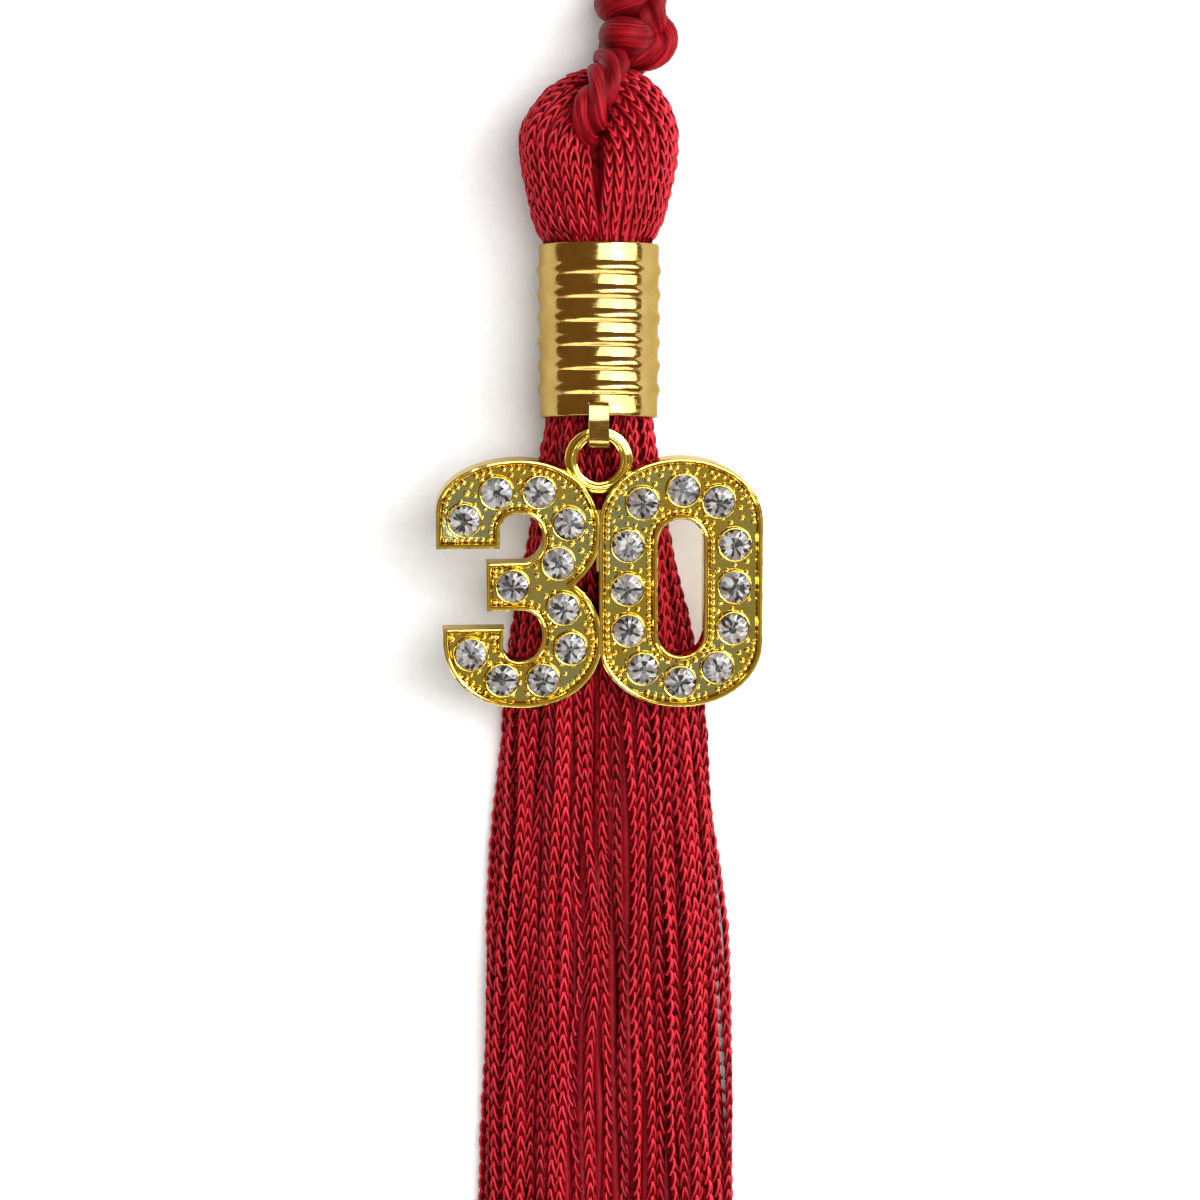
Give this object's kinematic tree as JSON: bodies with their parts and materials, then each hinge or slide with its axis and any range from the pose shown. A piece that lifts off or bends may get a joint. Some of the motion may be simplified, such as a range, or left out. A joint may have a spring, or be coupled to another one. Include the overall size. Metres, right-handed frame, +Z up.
{
  "type": "graduation tassel",
  "caption": "Graduation tassel of chain yarn folded over a knotted cord loop, held by a ribbed gold barrel with a hinged number charm set with clear stones.",
  "frame": {"origin": "on the surface that the tassel lies on, under the middle of its length without the cord loop", "axes": "+Y along the tassel towards its cord loop, +Z up out of the charm's face, +X to the right"},
  "size_m": [0.0301, 0.3198, 0.0133],
  "materials": {
    "yarn": "satin",
    "cord": "satin",
    "barrel_gold": "polished",
    "charm_gold": "polished",
    "stone": "faceted"
  },
  "bodies": {
    "tassel": {"yarn_skein": "yarn", "knotted_cord": "cord", "loop_cord": "cord", "barrel": "barrel_gold", "hook_strap": "barrel_gold"},
    "charm": {"number_charm": "charm_gold", "stone_01": "stone", "stone_02": "stone", "stone_03": "stone", "stone_04": "stone", "stone_05": "stone", "stone_06": "stone", "stone_07": "stone", "stone_08": "stone", "stone_09": "stone", "stone_10": "stone", "stone_11": "stone", "stone_12": "stone", "stone_13": "stone", "stone_14": "stone", "stone_15": "stone", "stone_16": "stone", "stone_17": "stone", "stone_18": "stone", "stone_19": "stone", "stone_20": "stone", "stone_21": "stone", "stone_22": "stone", "stone_23": "stone"}
  },
  "joints": [
    {"name": "charm_swing", "type": "hinge", "parent": "tassel", "child": "charm", "pos_m": [0, 0.07658, 0.011], "axis": [-1, 0, 0], "range_deg": [0, 160]}
  ]
}
